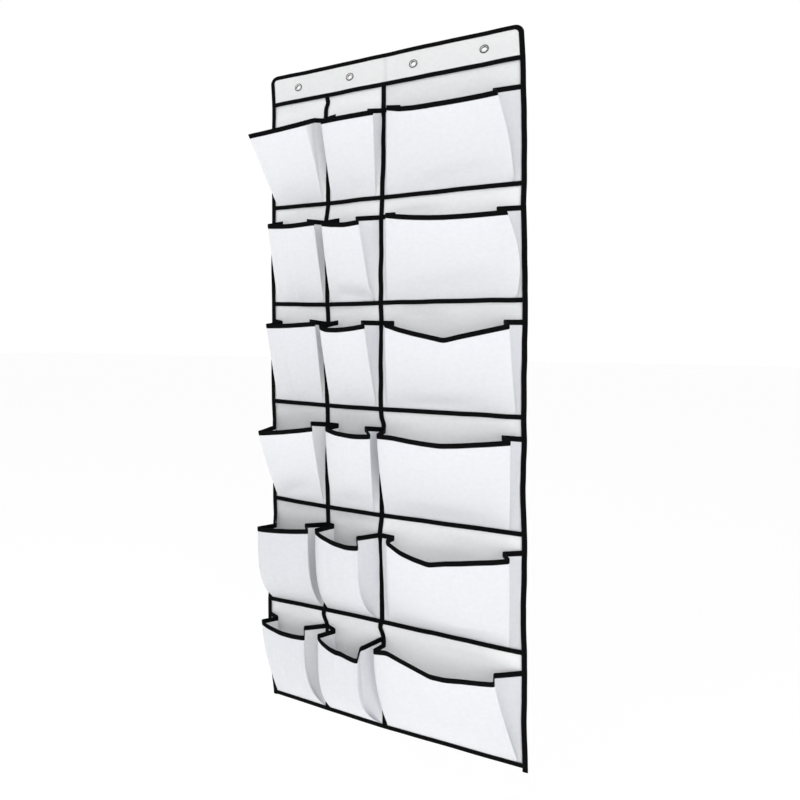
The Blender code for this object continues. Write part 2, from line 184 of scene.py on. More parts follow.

# Creases pressed into the fronts: from (across, up) to (across, up) as shares of the front, then
# depth and half width in mm. A negative depth stands proud.
CREASES = {
    (1, 1): [((0.62, 0.0), (0.58, 0.75), 1.5, 5), ((0.2, 0.1), (0.5, 0.2), 2.5, 12)],
    (1, 2): [((0.45, 0.0), (0.42, 0.5), 1.5, 4), ((0.5, 0.1), (0.9, 0.14), 3, 12)],
    (1, 3): [((0.2, 0.1), (0.85, 0.22), 4, 18)],
    (2, 1): [((0.1, 0.0), (0.06, 1.0), -1.5, 3), ((0.42, 0.0), (0.36, 0.9), 1.6, 4)],
    (2, 2): [((0.15, 0.12), (0.9, 0.1), 8, 13)],
    (2, 3): [((0.25, 0.14), (0.8, 0.26), 5, 22)],
    (3, 1): [((0.42, 0.0), (0.3, 0.95), 2.0, 4), ((0.12, 0.3), (0.1, 1.0), -1.5, 3)],
    (3, 2): [((0.2, 0.35), (0.16, 1.0), -1.5, 3), ((0.45, 0.0), (0.4, 0.4), 1.8, 4)],
    (3, 3): [((0.1, 0.08), (0.7, 0.12), 6, 15), ((0.47, 1.0), (0.45, 0.6), -2, 9)],
    (4, 1): [((0.15, 0.1), (0.8, 0.28), 9, 16)],
    (4, 2): [((0.2, 0.1), (0.9, 0.16), 5, 13), ((0.4, 0.1), (0.38, 0.5), -1.5, 4)],
    (4, 3): [((0.1, 0.1), (0.9, 0.1), 3.5, 14), ((0.3, 0.5), (0.7, 0.7), 1.5, 25)],
    (5, 1): [((0.3, 0.1), (0.25, 0.9), -3, 9), ((0.6, 0.2), (0.6, 0.9), 2.5, 8)],
    (5, 2): [((0.35, 0.2), (0.3, 1.0), 3, 7), ((0.7, 0.3), (0.7, 0.9), -2.5, 8)],
    (5, 3): [((0.5, 0.2), (1.0, 0.27), -5, 6), ((0.36, 1.0), (0.3, 0.5), -2.0, 10)],
    (6, 1): [((0.35, 0.15), (0.3, 0.9), 3, 9), ((0.75, 0.2), (0.7, 0.9), -2.5, 8)],
    (6, 2): [((0.5, 1.0), (0.45, 0.5), -3, 7), ((0.8, 0.3), (0.75, 0.9), 2.5, 8)],
    (6, 3): [((0.35, 0.9), (0.6, 0.3), 3.5, 18), ((0.7, 0.1), (0.8, 0.6), -3, 14)],
}

# How finely the cloth is divided: round the panel's corners, across a pleat, round a fold and
# across a front, then at these shares of a pocket's height
CORNER_STEPS = 8
PLEAT_STEPS = 6
ROUND_STEPS = 4
NARROW_STEPS = 26
WIDE_STEPS = 46
HEIGHTS = [0, 0.012, 0.03, 0.055, 0.085, 0.12, 0.16, 0.2, 0.245, 0.29, 0.34, 0.39, 0.44, 0.5]
HEIGHTS += [0.55, 0.61, 0.66, 0.72, 0.77, 0.83, 0.88, 0.925, 0.965, 1]

WORLD_FRONT = 0.82  # brightness of the studio in front of the organizer; behind it is white


# ---------------------------------------------------------------- places taken from the frame

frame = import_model()
JOINTS = {joint["name"]: joint for joint in frame["joints"]}
NODES = frame["nodes"]
FOLD_AXIS = Vector(JOINTS["storage_fold"]["pos_m"])


def middle(node):
    low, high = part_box(node)
    return (low + high) / 2


LEFT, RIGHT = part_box("side_binding_left_upper")[0].x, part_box("side_binding_right_upper")[1].x
TOP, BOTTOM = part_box("top_binding")[1].z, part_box("bottom_binding")[0].z
COLUMNS = [
    LEFT + HALF_TAPE,
    middle("divider_tape_1_upper").x,
    middle("divider_tape_2_upper").x,
    RIGHT - HALF_TAPE,
]
SEAMS = [middle("seam_tape_header").z]
SEAMS += [middle(f"seam_tape_row{row}").z for row in range(1, 6)]
SEAMS += [BOTTOM + HALF_TAPE]
EYELETS = [middle(f"eyelet_{number}") for number in range(1, 5)]


def stray_heights():
    """The heights at which STRAY is given, from the top down."""
    heights = [TOP, SEAMS[0]]
    for above, below, rim in zip(SEAMS, SEAMS[1:], RIM_AT_SEAM):
        heights += [above - rim[0] * MM, (above + below) / 2 - 0.1 * (above - below), below]
    return heights


STRAY_Z = np.array(stray_heights())[::-1]
LIFT_Z = np.array([TOP, *SEAMS])[::-1]


def across_columns(x, values):
    """Values given at the four upright lines, read in between. values is (4, n), x is (n)."""
    x = np.clip(x, COLUMNS[0], COLUMNS[-1])
    place = np.clip(np.searchsorted(COLUMNS, x) - 1, 0, 2)
    left, right = np.array(COLUMNS)[place], np.array(COLUMNS)[place + 1]
    share = (x - left) / (right - left)
    n = np.arange(len(x))
    return values[place, n] * (1 - share) + values[place + 1, n] * share


def stray(points):
    """Points on the panel moved to where the hung cloth lies."""
    points = np.array(points, float)
    flat = points.reshape(-1, 3)
    x, z = flat[:, 0].copy(), flat[:, 2].copy()
    right = np.array([np.interp(z, STRAY_Z, line[::-1]) for line in STRAY])
    up = np.array([np.interp(z, LIFT_Z, [row[n] for row in LIFT][::-1]) for n in range(4)])
    flat[:, 0] += across_columns(x, right) * MM
    flat[:, 2] += across_columns(x, up) * MM
    for line, height, shift, half in KINKS:
        away = ((x - COLUMNS[line]) / KINK_REACH) ** 2 + ((z / MM - height) / half) ** 2
        flat[:, 0] += shift * MM * np.exp(-away)
    return flat.reshape(points.shape)


# ---------------------------------------------------------------- materials


class Shader:
    """A node material around one Principled shader."""

    def __init__(self, name, roughness, metallic=0.0, **uniform):
        self.material = bpy.data.materials.new(name)
        self.material.use_nodes = True
        self.tree = self.material.node_tree
        self.principled = self.tree.nodes["Principled BSDF"]
        self.set("Roughness", roughness)
        self.set("Metallic", metallic)
        for socket, value in uniform.items():
            self.set(socket.replace("_", " "), value)

    def set(self, socket, value):
        self.principled.inputs[socket].default_value = value

    def node(self, kind, inputs=None, **settings):
        made = self.tree.nodes.new("ShaderNode" + kind)
        for key, value in settings.items():
            setattr(made, key, value)
        for key, value in (inputs or {}).items():
            if isinstance(value, bpy.types.NodeSocket):
                self.tree.links.new(value, made.inputs[key])
            else:
                made.inputs[key].default_value = value
        return made

    def link(self, output, socket):
        self.tree.links.new(output, self.principled.inputs[socket])

    def math(self, operation, a, b):
        return self.node("Math", {0: a, 1: b}, operation=operation).outputs[0]

    def flat_place(self):
        """The place on the flat cut, in millimetres: u runs along the piece."""
        uv = self.node("UVMap", uv_map="flat").outputs[0]
        return self.node("VectorMath", {0: uv, 1: (1000, 1000, 1000)}, operation="MULTIPLY").outputs[0]

    def noise(self, vector, scale, detail=2.0, rough=0.5):
        inputs = {"Vector": vector, "Scale": scale, "Detail": detail, "Roughness": rough}
        return self.node("TexNoise", inputs).outputs["Fac"]

    def wave(self, vector, direction, scale, distortion, detail=2.0):
        inputs = {"Vector": vector, "Scale": scale, "Distortion": distortion, "Detail": detail}
        return self.node("TexWave", inputs, bands_direction=direction).outputs["Fac"]

    def ramp(self, value, low, high, dark, light):
        inputs = {"Value": value, "From Min": low, "From Max": high, "To Min": dark, "To Max": light}
        return self.node("MapRange", inputs).outputs[0]

    def tint(self, colour, amount):
        """The base colour: a colour multiplied by a value."""
        mix = self.node("Mix", None, data_type="RGBA", blend_type="MULTIPLY")
        grey = self.node("CombineColor", {0: amount, 1: amount, 2: amount}).outputs[0]
        mix.inputs["Factor"].default_value = 1.0
        first, second = mix.inputs[6:8]
        first.default_value = (*colour, 1)
        self.tree.links.new(grey, second)
        self.link(mix.outputs[2], "Base Color")

    def bump(self, height, strength, distance, under=None):
        inputs = {"Strength": strength, "Distance": distance, "Height": height}
        if under:
            inputs["Normal"] = under
        return self.node("Bump", inputs).outputs[0]


def nonwoven(name, colour, scatter):
    """Spunbond cloth: cloudy fibre web with rows of small pressed points."""
    s = Shader(name, 0.9, Sheen_Weight=0.05, Sheen_Roughness=0.5, Specular_IOR_Level=0.25)
    s.set("Subsurface Weight", 1.0)
    s.set("Subsurface Radius", (1.0, 1.0, 1.0))
    s.set("Subsurface Scale", scatter)
    place = s.flat_place()
    turned = s.node("Mapping", {"Vector": place, "Rotation": (0, 0, math.radians(45))}).outputs[0]
    points = s.node(
        "TexVoronoi", {"Vector": turned, "Scale": 0.85, "Randomness": 0.06}, voronoi_dimensions="2D"
    ).outputs["Distance"]
    pressed = s.ramp(points, 0.2, 0.42, 0.0, 1.0)
    along = s.node("Mapping", {"Vector": place, "Scale": (0.35, 2.6, 1)}).outputs[0]
    over = s.node("Mapping", {"Vector": place, "Scale": (2.6, 0.35, 1)}).outputs[0]
    fibres = s.math("MULTIPLY", s.noise(along, 1.6, 4.0, 0.6), s.noise(over, 1.6, 4.0, 0.6))
    clouds = s.noise(place, 0.11, 4.0, 0.6)
    # tone: per-vertex darkening subtracted from the colour, mostly painted shade and painted light
    tone = s.node("Attribute", attribute_name="tone").outputs["Fac"]
    amount = s.math("ADD", s.ramp(clouds, 0.3, 0.7, 0.955, 1.0), s.ramp(fibres, 0.15, 0.4, -0.02, 0.02))
    amount = s.math("SUBTRACT", s.math("MULTIPLY", amount, s.ramp(pressed, 0, 1, 0.975, 1.0)), tone)
    s.tint(colour, amount)
    web = s.bump(fibres, 0.25, 0.12 * MM)
    s.link(s.bump(pressed, 0.45, 0.09 * MM, under=web), "Normal")
    s.link(s.ramp(clouds, 0.3, 0.7, 0.82, 0.95), "Roughness")
    return s.material


def tape_cloth(name, colour):
    """Woven edge tape: fine ribs across it, fuzzy between, with paler patches of painted highlight in place
    of the sheen on its ridges.
    """
    s = Shader(name, 0.7, Sheen_Weight=0.01, Sheen_Roughness=0.4, Specular_IOR_Level=0.02)
    place = s.flat_place()
    ribs = s.wave(place, "X", 0.42, 0.6, 1.0)
    yarns = s.wave(place, "Y", 0.7, 0.4)
    weave = s.math("MULTIPLY", ribs, s.ramp(yarns, 0, 1, 0.6, 1.0))
    painted_highlight_noise = s.noise(place, 0.25, 5.0, 0.65)
    # painted highlight: paler patches in the tape's colour stand in for the sheen on its ridges; roughness
    # follows the same noise
    s.tint(colour, s.math("MULTIPLY", s.ramp(painted_highlight_noise, 0.35, 0.75, 0.8, 1.9), s.ramp(weave, 0, 1, 0.75, 1.2)))
    s.link(s.bump(weave, 0.6, 0.12 * MM), "Normal")
    s.link(s.ramp(painted_highlight_noise, 0.3, 0.7, 0.62, 0.8), "Roughness")
    return s.material


def thread(name, colour):
    """Twisted sewing thread."""
    s = Shader(name, 0.45, Sheen_Weight=0.05, Specular_IOR_Level=0.3)
    place = s.flat_place()
    twist = s.wave(place, "DIAGONAL", 1.2, 0.2)
    s.tint(colour, s.ramp(twist, 0, 1, 0.7, 1.25))
    s.link(s.bump(twist, 0.5, 0.05 * MM), "Normal")
    return s.material


def nickel(name, centre):
    """Plated steel turned about a centre, with painted highlight on the flange's crown and painted shade at
    its rim and barrel.
    """
    s = Shader(name, 0.22, metallic=1.0)
    place = s.node("TexCoord").outputs["Object"]
    inputs = {0: place, 1: (centre.x, centre.y, centre.z)}
    radius = s.node("VectorMath", inputs, operation="DISTANCE").outputs["Value"]
    # painted light and shade in rings round the centre: painted shade on the barrel and the flange's rim,
    # painted highlight on its crown
    painted_light_rings = s.node("ValToRGB", {"Fac": s.ramp(radius, 0, 10 * MM, 0, 1)})
    ramp = painted_light_rings.color_ramp
    stops = [(0.5, 0.01), (0.56, 0.03), (0.63, 0.9), (0.71, 0.5), (0.77, 0.03), (0.86, 0.02)]
    while len(ramp.elements) < len(stops):
        ramp.elements.new(0.5)
    for element, (position, value) in zip(ramp.elements, stops):
        element.position, element.color = position, (value, value, value * 1.02, 1)
    tarnish = s.noise(place, 260.0, 3.0, 0.6)
    marks = s.noise(place, 900.0, 3.0, 0.6)
    s.tint((1, 1, 1), s.math("MULTIPLY", painted_light_rings.outputs["Color"], s.ramp(tarnish, 0.35, 0.65, 0.5, 1.3)))
    s.link(s.bump(marks, 0.15, 0.05 * MM), "Normal")
    s.link(s.ramp(tarnish, 0.3, 0.7, 0.16, 0.34), "Roughness")
    return s.material


def board(name):
    """Pressed fibre board."""
    s = Shader(name, 0.7)
    place = s.node("TexCoord").outputs["Object"]
    flecks = s.noise(place, 700.0, 5.0, 0.7)
    s.tint((0.8, 0.79, 0.75), s.ramp(flecks, 0.35, 0.7, 0.85, 1.05))
    s.link(s.bump(flecks, 0.3, 0.1 * MM), "Normal")
    return s.material


CLOTH_WHITE = nonwoven("white_nonwoven_cloth", (0.88, 0.89, 0.925), 0.5 * MM)
PANEL_WHITE = nonwoven("white_nonwoven_panel", (0.86, 0.87, 0.875), 0.6 * MM)
TAPE_BLACK = tape_cloth("black_binding_tape", (0.004, 0.004, 0.0045))
THREAD_BLACK = thread("black_thread", (0.009, 0.009, 0.01))
THREAD_WHITE = thread("white_thread", (0.8, 0.8, 0.81))
NICKEL = [nickel(f"eyelet_nickel_plate_{n}", place) for n, place in enumerate(EYELETS, 1)]
BOARD = board("header_fibre_board")


# ---------------------------------------------------------------- mesh tools


class Piece:
    """Faces and their flat places, gathered before they become one mesh object."""

    def __init__(self):
        self.points, self.faces, self.places, self.slots = [], [], [], []
        self.count = 0

    def add(self, points, faces, places, slot=0):
        """points is (n, 3). faces index them. places has one (u, v) for each corner of each face."""
        self.points.append(np.asarray(points, float).reshape(-1, 3))
        self.faces += [[corner + self.count for corner in face] for face in faces]
        self.places += places
        self.slots += [slot] * len(faces)
        self.count += len(self.points[-1])

    def make(self, name, materials, crease=50):
        mesh = bpy.data.meshes.new(name)
        mesh.from_pydata(np.concatenate(self.points).tolist(), [], self.faces)
        layer = mesh.uv_layers.new(name="flat")
        layer.data.foreach_set("uv", np.array(self.places, np.float32).ravel())
        for material in materials:
            mesh.materials.append(material)
        mesh.polygons.foreach_set("material_index", self.slots)
        mesh.polygons.foreach_set("use_smooth", [True] * len(self.slots))
        mesh.set_sharp_from_angle(angle=math.radians(crease))
        mesh.update()
        made = bpy.data.objects.new(name, mesh)
        bpy.context.scene.collection.objects.link(made)
        return made


def normals_of(grid):
    """The unit normal at each point of a (rows, columns, 3) grid."""
    down, along = np.gradient(grid, axis=0), np.gradient(grid, axis=1)
    normal = np.cross(along, down)
    return normal / np.maximum(np.linalg.norm(normal, axis=2, keepdims=True), 1e-12)


def grid_faces(rows, columns, start=0, flip=False):
    faces = []
    for r in range(rows - 1):
        for c in range(columns - 1):
            a = start + r * columns + c
            face = [a, a + 1, a + 1 + columns, a + columns]
            faces.append(face[::-1] if flip else face)
    return faces


def add_shell(piece, grid, places):
    """A closed thin sheet around a grid of points, with its edges."""
    rows, columns = grid.shape[:2]
    out = normals_of(grid) * CLOTH / 2
    points = np.concatenate([(grid + out).reshape(-1, 3), (grid - out).reshape(-1, 3)])
    faces = grid_faces(rows, columns) + grid_faces(rows, columns, rows * columns, flip=True)
    loop = list(range(columns))
    loop += [r * columns + columns - 1 for r in range(1, rows)]
    loop += [(rows - 1) * columns + c for c in range(columns - 2, -1, -1)]
    loop += [r * columns for r in range(rows - 2, 0, -1)]
    under = rows * columns
    for a, b in zip(loop, loop[1:] + loop[:1]):
        faces.append([b, a, a + under, b + under])
    flat = places.reshape(-1, 2)
    corners = [tuple(flat[corner % under]) for face in faces for corner in face]
    piece.add(points, faces, corners)


def add_sweep(piece, path, side, out, section):
    """A closed section carried along a path. section is (m, 2): along side and along out."""
    count, m = len(path), len(section)
    points = path[:, None] + side[:, None] * section[None, :, :1] + out[:, None] * section[None, :, 1:]
    lengths = np.concatenate([[0], np.cumsum(np.linalg.norm(np.diff(path, axis=0), axis=1))])
    around = np.linalg.norm(np.diff(np.vstack([section, section[:1]]), axis=0), axis=1)
    around = np.concatenate([[0], np.cumsum(around)])
    faces, places = [], []
    for i in range(count - 1):
        for j in range(m):
            k = (j + 1) % m
            faces.append([i * m + j, i * m + k, (i + 1) * m + k, (i + 1) * m + j])
            low, high = lengths[i], lengths[i + 1]
            places += [(low, around[j]), (low, around[j + 1]), (high, around[j + 1]), (high, around[j])]
    for i, order in ((0, range(m - 1, -1, -1)), (count - 1, range(m))):
        faces.append([i * m + j for j in order])
        places += [(lengths[i] + section[j][1], section[j][0]) for j in order]
    piece.add(points.reshape(-1, 3), faces, places)


# One stitch as a share of its length, and how far it rises as a share of its width
STITCH_PROFILE = ((0, -0.1), (0.18, 0.75), (0.5, 1.0), (0.82, 0.75), (1, -0.1))
STITCH_RISE = 0.55
STITCH_TILT = 0.12 * MM
STITCH_MARGIN = 1 * MM


def add_stitches(piece, path, side, out, height, slot=1, seed=0):
    """A row of lockstitches lying on a path, each a short raised thread."""
    chance = random.Random(seed)
    steps = np.linalg.norm(np.diff(path, axis=0), axis=1)
    lengths = np.concatenate([[0], np.cumsum(steps)])

    def at(values, place):
        return np.array([np.interp(place, lengths, values[:, n]) for n in range(3)])

    start = STITCH_MARGIN
    while start + STITCH_LENGTH < lengths[-1] - STITCH_MARGIN:
        points, faces, places = [], [], []
        tilt = chance.uniform(-STITCH_TILT, STITCH_TILT)
        for n, (share, rise) in enumerate(STITCH_PROFILE):
            place = start + share * STITCH_LENGTH
            centre = at(path, place) + at(side, place) * tilt * (share - 0.5) * 2
            across, up = at(side, place), at(out, place)
            lift = height + rise * STITCH_WIDTH * STITCH_RISE
            half = STITCH_WIDTH / 2
            foot = centre + up * height
            points += [foot - across * half, centre + up * lift, foot + across * half]
            if n:
                a = 3 * (n - 1)
                for j in range(3):
                    k = (j + 1) % 3
                    faces.append([a + j, a + k, a + 3 + k, a + 3 + j])
                    places += [(0, 0), (0, half), (STITCH_LENGTH / 4, half), (STITCH_LENGTH / 4, 0)]
        faces += [[2, 1, 0], [12, 13, 14]]
        places += [(0, 0)] * 6
        piece.add(points, faces, places, slot)
        start += STITCH_PITCH


def unit(vectors):
    return vectors / np.maximum(np.linalg.norm(vectors, axis=-1, keepdims=True), 1e-12)


def ripple(s, amount, wave, seed):
    """A slow irregular wander along a length, for hand-guided sewing."""
    return np.array([noise.noise(Vector((place / wave, seed * 7.31, 0.5))) for place in s]) * amount


def soften(values, width):
    """Values smoothed over a window of that many places, with the ends kept."""
    window = np.hanning(width + 2)[1:-1]
    window /= window.sum()
    before = 2 * values[0] - values[width:0:-1]
    after = 2 * values[-1] - values[-2 : -width - 2 : -1]
    padded = np.concatenate([before, values, after])
    return np.convolve(padded, window, mode="same")[width:-width]


# Sections in mm: along the tape's width, and forward. Each ply is pressed in at its stitches.
FLAT_SECTION = [(-5, 0.05), (-4.9, 0.45), (-4.3, 0.62), (-3.5, 0.5), (-2.4, 0.72), (0, 0.8)]
FLAT_SECTION += [(2.4, 0.72), (3.5, 0.5), (4.3, 0.62), (4.9, 0.45), (5, 0.05)]
FLAT_SECTION = np.array(FLAT_SECTION[::-1]) * MM
STITCH_SEAT = 0.5 * MM


def add_flat_tape(piece, path, out, seed=0):
    """A flat tape sewn down along both edges, with its two rows of stitches."""
    along = unit(np.gradient(path, axis=0))
    side = unit(np.cross(out, along))
    add_sweep(piece, path, side, out, FLAT_SECTION)
    for sign in (-1, 1):
        line = path + side * sign * STITCH_LINE
        add_stitches(piece, line, side, out, STITCH_SEAT, seed=seed + sign)


def forward(count):
    return np.tile([0.0, -1.0, 0.0], (count, 1))


# ---------------------------------------------------------------- the panel


def round_corner(centre_x, first, last):
    """Points round one of the panel's top corners, from one angle to another."""
    angles = [math.radians(first + (last - first) * n / CORNER_STEPS) for n in range(CORNER_STEPS + 1)]
    centre_z = TOP - CORNER_RADIUS
    return [(centre_x + CORNER_RADIUS * math.cos(a), centre_z + CORNER_RADIUS * math.sin(a)) for a in angles]


def sheet_grid(rows_z, columns, y, ripples):
    """A panel sheet's grid: full width, pulled in at the top to follow the round corners."""
    grid = []
    for z in rows_z:
        over = z - (TOP - CORNER_RADIUS)
        pull = SHEET_INSET
        if over > 0:
            radius = CORNER_RADIUS - SHEET_INSET
            pull = CORNER_RADIUS - math.sqrt(max(radius**2 - over**2, 0))
        xs = np.linspace(LEFT + pull, RIGHT - pull, columns)
        grid.append([(x, y + ripples(x, z), z) for x in xs])
    return np.array(grid)


def down_rows(high, low, step, extra):
    """Heights from the top down, about a step apart, with the extra ones among them."""
    count = max(2, round((high - low) / step) + 1)
    rows = set(np.round(np.linspace(high, low, count), 6)) | set(extra)
    return sorted(rows, reverse=True)


def corner_rows():
    """Heights that follow the sheets' round corners evenly."""
    radius = CORNER_RADIUS - SHEET_INSET
    angles = [math.radians(a) for a in (89, 80, 70, 60, 48, 35, 20, 0)]
    return [TOP - CORNER_RADIUS + radius * math.sin(a) for a in angles]


def drill(obj):
    """Round holes through a sheet for the eyelets' barrels."""
    for place in EYELETS:
        work = bmesh.new()
        sizes = dict(segments=32, radius1=EYELET_HOLE, radius2=EYELET_HOLE, depth=20 * MM)
        bmesh.ops.create_cone(work, cap_ends=True, **sizes)
        bmesh.ops.rotate(work, verts=work.verts, matrix=Matrix.Rotation(math.pi / 2, 3, "X"))
        bmesh.ops.translate(work, verts=work.verts, vec=(place.x, 0, place.z))
        mesh = bpy.data.meshes.new("drill")
        work.to_mesh(mesh)
        work.free()
        tool = bpy.data.objects.new("drill", mesh)
        bpy.context.scene.collection.objects.link(tool)
        boolean = obj.modifiers.new("hole", "BOOLEAN")
        boolean.operation, boolean.solver, boolean.object = "DIFFERENCE", "EXACT", tool
    bpy.context.view_layer.update()
    cut = bpy.data.meshes.new_from_object(obj.evaluated_get(bpy.context.evaluated_depsgraph_get()))
    obj.modifiers.clear()
    obj.data = cut
    for tool in [o for o in bpy.data.objects if o.name.startswith("drill")]:
        bpy.data.objects.remove(tool)


def set_tone(obj, values):
    """Darken the cloth by a share at each vertex, paler below nought; the values are mostly painted shade
    and painted light.
    """
    obj.data.attributes.new("tone", "FLOAT", "POINT").data.foreach_set("value", values)


def panel_painted_light_and_shade(point):
    """The cell's painted shade, below nought painted light, with faint painted shade of wrinkles drawn out
    sideways.
    """
    row = sum(point.z < seam for seam in SEAMS[1:6])
    column = sum(point.x > line for line in COLUMNS[1:3])
    # painted shade of wrinkles: faint darker streaks drawn out sideways
    wrinkle_painted_shade = noise.noise(Vector((point.x * 7, point.z * 38, 5.5)))
    return PANEL_PAINTED_LIGHT_AND_SHADE[row][column] + max(0, wrinkle_painted_shade - 0.1) * 0.16


def cloth_waves(x, z):
    """Slack in the panel between the sewn lines."""
    slow = noise.noise(Vector((x * 9, z * 7, 3.1)))
    fine = noise.noise(Vector((x * 30, z * 26, 8.2)))
    return (slow * 0.5 + fine * 0.18) * MM


def near_fold(*steps):
    """Heights at these steps from the storage fold, in mm."""
    return [FOLD_AXIS.z + step * MM for step in steps]


def make_back_sheet():
    extra = corner_rows() + near_fold(-6, -4, -3, -2, -1, 0, 1, 2, 3, 4, 6)
    rows = down_rows(TOP - SHEET_INSET, BOTTOM + SHEET_INSET, 12 * MM, extra)
    grid = stray(sheet_grid(rows, 56, BACK_Y, cloth_waves))
    piece = Piece()
    add_shell(piece, grid, grid[:, :, (0, 2)])
    sheet = piece.make("back_sheet", [PANEL_WHITE])
    drill(sheet)
    # painted shade and painted light, cell by cell, on the panel
    set_tone(sheet, [panel_painted_light_and_shade(vert.co) for vert in sheet.data.vertices])
    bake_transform(sheet)
    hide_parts("back_sheet_upper", "back_sheet_lower")
    return sheet


def make_header_facing():
    """The header's front ply, drawn smooth over the stiffener, with a slight ridge and a band of painted
    shade where an inner seam shows through.
    """
    ridge = COLUMNS[2] + 8 * MM

    def shape(x, z):
        over_seam = math.exp(-(((x - ridge) / (5 * MM)) ** 2))
        return -0.25 * MM - 0.3 * MM * over_seam + 0.2 * MM * noise.noise(Vector((x * 14, z * 20, 1.7)))

    rows = down_rows(TOP - SHEET_INSET, SEAMS[0] - 2 * MM, 6 * MM, corner_rows())
    grid = stray(sheet_grid(rows, 90, FACING_Y, shape))
    piece = Piece()
    add_shell(piece, grid, grid[:, :, (0, 2)])
    facing = piece.make("header_facing_cloth", [PANEL_WHITE])
    drill(facing)
    # painted shade of the inner seam seen through the cloth, strongest over the ridge
    away = [(abs(vert.co.x - ridge) / HEADER_SEAM_SHADE_HALF) ** 8 for vert in facing.data.vertices]
    set_tone(facing, [HEADER_TONE + HEADER_SEAM_PAINTED_SHADE / (1 + far) for far in away])
    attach(facing, "upper_panel")
    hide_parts("header_facing")
    return facing


# The edge binding's section in mm: in from the edge, and forward of the door plane
BINDING_SECTION = [(10, 4.45), (9.9, 4.85), (9.3, 5.0), (8.5, 4.88), (7.4, 5.12), (5, 5.2), (2.6, 5.0)]
BINDING_SECTION += [(1, 4.4), (0.15, 3.5), (0, 2.5), (0.2, 1.4), (1, 0.5), (2.6, 0.1), (6, 0.02)]
BINDING_SECTION += [(8.5, 0.12), (9.6, 0.02), (10, 0.25), (9.6, 0.6), (3, 0.62), (1.4, 1.3), (0.9, 2.5)]
BINDING_SECTION += [(1.4, 3.8), (3, 4.4), (9.6, 4.4)]
BINDING_SECTION = np.array(BINDING_SECTION) * MM


def make_edge_binding():
    """One tape folded over the panel's edge, up the left side, over the top and down the right."""
    heights = down_rows(TOP - CORNER_RADIUS, BOTTOM, 8 * MM, near_fold(-4, -2, 0, 2, 4))
    tail = 6 * MM
    left = [(LEFT, z) for z in heights[::-1]]
    right = [(RIGHT, z) for z in heights] + [(RIGHT, BOTTOM - tail)]
    centres = LEFT + CORNER_RADIUS, RIGHT - CORNER_RADIUS
    top = [(x, TOP) for x in np.linspace(*centres, 70)[1:-1]]
    over = round_corner(centres[0], 180, 90) + top + round_corner(centres[1], 90, 0)
    line = left[:-1] + over + right[1:]
    path = np.array([(x, 0.0, z) for x, z in line])
    along = unit(np.gradient(path, axis=0))
    out = forward(len(path))
    side = unit(np.cross(along, out))
    path = stray(path)
    length = np.concatenate([[0], np.cumsum(np.linalg.norm(np.diff(path, axis=0), axis=1))])
    path += side * ripple(length, 0.9 * MM, 45 * MM, 1)[:, None]
    piece = Piece()
    add_sweep(piece, path, side, out, BINDING_SECTION[::-1])
    stitch_line = path + side * (TAPE_WIDTH - STITCH_FROM_EDGE)
    add_stitches(piece, stitch_line, side, out, 4.85 * MM, seed=11)
    add_stitches(piece, stitch_line, side, -out, -0.12 * MM, seed=12)
    binding = piece.make("edge_binding", [TAPE_BLACK, THREAD_BLACK])
    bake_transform(binding)
    ends = ("left_upper", "left_lower", "right_upper", "right_lower")
    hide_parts("top_binding", *[f"side_binding_{end}" for end in ends])
    return binding


def make_bottom_binding():
    xs = np.linspace(LEFT + 5 * MM, RIGHT - 5 * MM, 110)
    path = np.array([(x, 0.0, BOTTOM) for x in xs])
    out = forward(len(path))
    side = np.tile([0.0, 0.0, 1.0], (len(path), 1))
    path = stray(path)
    path[:, 2] += ripple(xs, 0.8 * MM, 60 * MM, 2)
    piece = Piece()
    section = BINDING_SECTION * [1, 0.93] + [0, 0.1 * MM]
    add_sweep(piece, path, side, out, section[::-1])
    line = path + side * (TAPE_WIDTH - STITCH_FROM_EDGE)
    add_stitches(piece, line, side, out, 4.6 * MM, seed=21)
    add_stitches(piece, line, side, -out, -0.15 * MM, seed=22)
    binding = piece.make("bottom_edge_binding", [TAPE_BLACK, THREAD_BLACK])
    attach(binding, "lower_panel")
    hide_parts("bottom_binding")
    return binding


def make_seam_tapes():
    made = []
    names = ["header", *[f"row{row}" for row in range(1, 6)]]
    for number, (name, z) in enumerate(zip(names, SEAMS)):
        xs = np.linspace(LEFT + 4 * MM, RIGHT - 4 * MM, 112)
        path = np.array([(x, SEAM_TAPE_Y, z) for x in xs])
        ends = np.clip(1 - np.minimum(xs - xs[0], xs[-1] - xs) / (12 * MM), 0, 1)
        path[:, 1] += ends * 0.75 * MM
        path = stray(path)
        path[:, 2] += ripple(xs, 1.0 * MM, 50 * MM, 30 + number)
        path[:, 1] -= np.abs(ripple(xs, 0.4 * MM, 30 * MM, 40 + number)) * (1 - ends)
        piece = Piece()
        add_flat_tape(piece, path, forward(len(path)), seed=50 + number)
        tape = piece.make(f"seam_tape_{name}_cloth", [TAPE_BLACK, THREAD_BLACK])
        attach(tape, "upper_panel" if number <= 3 else "lower_panel")
        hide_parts(f"seam_tape_{name}")
        made.append(tape)
    return made


def rim_heights(line):
    return [above - rims[line] * MM for above, rims in zip(SEAMS, RIM_AT_SEAM)]


